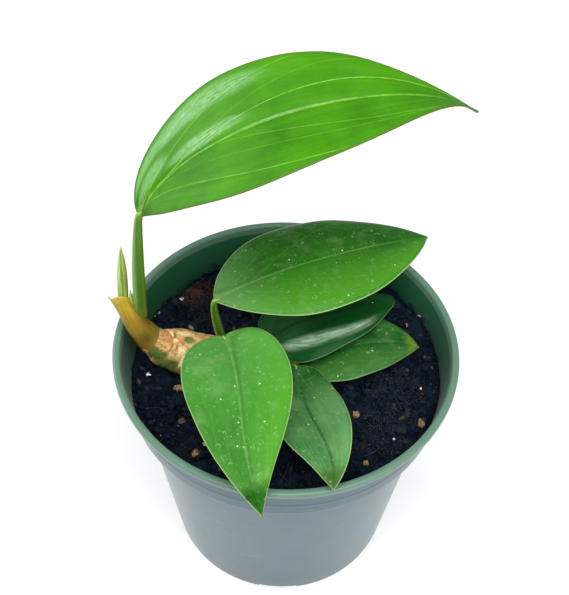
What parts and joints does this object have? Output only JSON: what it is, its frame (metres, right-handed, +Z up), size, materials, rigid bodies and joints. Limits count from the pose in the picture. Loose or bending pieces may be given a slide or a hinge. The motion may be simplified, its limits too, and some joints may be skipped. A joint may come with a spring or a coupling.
{
  "type": "potted pothos plant",
  "caption": "Young leafy climbing plant with a thick creeping stem, rooted in dark potting mix in a round plastic nursery pot.",
  "frame": {"origin": "centre of the flat underside of the pot, on the pot's axis", "axes": "+Z up along the pot's axis; -Y is the side that the front heart-shaped leaf hangs over; +X is the way the big raised leaf reaches"},
  "size_m": [0.1084, 0.1173, 0.1756],
  "materials": {
    "pot_plastic": "satin green polypropylene with a pale bloom",
    "soil": "moist dark potting mix",
    "rhizome": "waxy tan skin with green patches",
    "dry_sheath": "dry golden bract",
    "young_leaf": "waxy pale green",
    "stalk": "waxy green",
    "leaf": "waxy glossy green",
    "root": "pale root",
    "pebble": "matte brown",
    "bark": "matte bark",
    "perlite": "matte white grain"
  },
  "bodies": {
    "root": {"pot": "pot_plastic", "soil": "soil", "rhizome": "rhizome", "leaf_sheath": "dry_sheath", "new_shoot": "young_leaf", "leaf_1_petiole": "stalk", "leaf_2_petiole": "stalk", "leaf_3_petiole": "stalk", "leaf_4_petiole": "stalk", "leaf_5_petiole": "stalk", "leaf_6_petiole": "stalk", "leaf_1_blade": "leaf", "leaf_2_blade": "leaf", "leaf_3_blade": "leaf", "leaf_4_blade": "leaf", "leaf_5_blade": "leaf", "leaf_6_blade": "leaf", "root_1": "root", "root_2": "root", "root_3": "root", "root_4": "root", "root_5": "root", "pebble": "pebble", "bark_chip_1": "bark", "bark_chip_2": "bark", "bark_chip_3": "bark", "bark_chip_4": "bark", "bark_chip_5": "bark", "bark_chip_6": "bark", "perlite_1": "perlite", "perlite_2": "perlite", "perlite_3": "perlite", "perlite_4": "perlite", "perlite_5": "perlite"}
  },
  "joints": []
}
